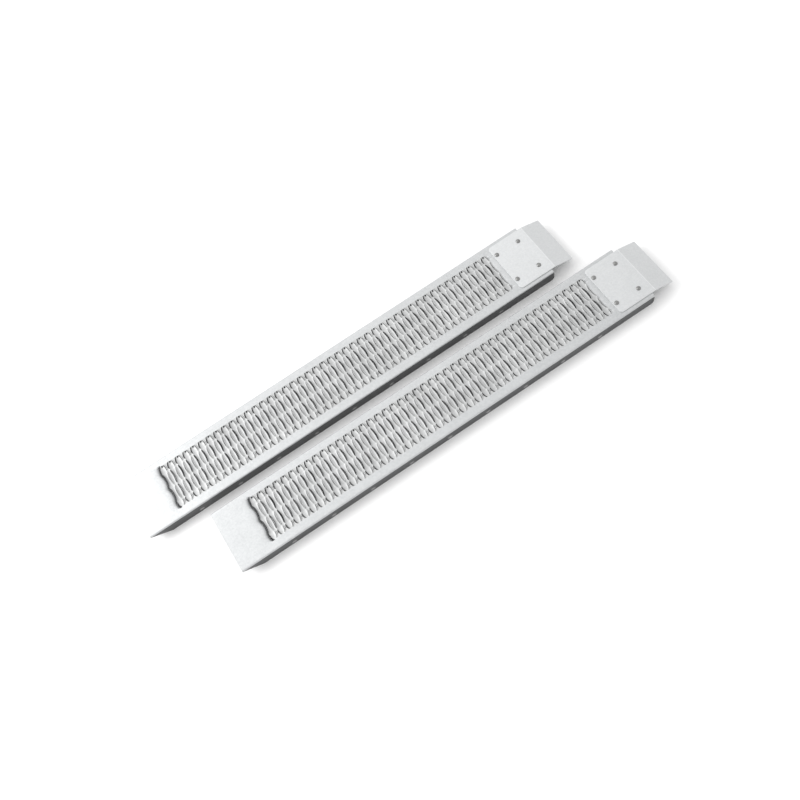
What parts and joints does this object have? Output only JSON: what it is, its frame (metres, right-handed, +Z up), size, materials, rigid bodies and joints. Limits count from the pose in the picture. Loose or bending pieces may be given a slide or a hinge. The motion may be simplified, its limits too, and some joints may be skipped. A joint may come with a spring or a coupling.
{
  "type": "portable wheelchair ramp",
  "caption": "Pair of portable channel ramp tracks in formed sheet steel with slotted safety tread, flanges, cross bars and a bolted, bent lip plate at the top end.",
  "frame": {"origin": "centre of the pair's bounding box, on the floor plane", "axes": "+Y up the tracks from the toe towards the lip, +X across from the left track to the right track, +Z up"},
  "size_m": [0.497, 1.873, 0.0526],
  "materials": {
    "galvanised_sheet": "galvanised and lightly scuffed",
    "lip_steel": "rolled, satin",
    "bar_steel": "galvanised, dull",
    "zinc_bolts": "zinc plated",
    "zinc_washers": "zinc plated",
    "zinc_nuts": "zinc plated"
  },
  "bodies": {
    "left_track": {"left_deck": "galvanised_sheet", "left_lip_plate": "lip_steel", "left_carriage_bolts": "zinc_bolts", "left_washers": "zinc_washers", "left_nuts": "zinc_nuts", "left_cross_bar_1": "bar_steel", "left_cross_bar_2": "bar_steel", "left_cross_bar_3": "bar_steel", "left_cross_bar_4": "bar_steel", "left_cross_bar_5": "bar_steel", "left_cross_bar_6": "bar_steel", "left_cross_bar_7": "bar_steel", "left_cross_bar_8": "bar_steel", "left_cross_bar_9": "bar_steel"},
    "right_track": {"right_deck": "galvanised_sheet", "right_lip_plate": "lip_steel", "right_carriage_bolts": "zinc_bolts", "right_washers": "zinc_washers", "right_nuts": "zinc_nuts", "right_cross_bar_1": "bar_steel", "right_cross_bar_2": "bar_steel", "right_cross_bar_3": "bar_steel", "right_cross_bar_4": "bar_steel", "right_cross_bar_5": "bar_steel", "right_cross_bar_6": "bar_steel", "right_cross_bar_7": "bar_steel", "right_cross_bar_8": "bar_steel", "right_cross_bar_9": "bar_steel"}
  },
  "joints": [
    {"name": "right_track_placing", "type": "slide", "parent": "left_track", "child": "right_track", "axis": [0.8538, -0.5206, 0], "range_m": [0, 0.384]}
  ]
}
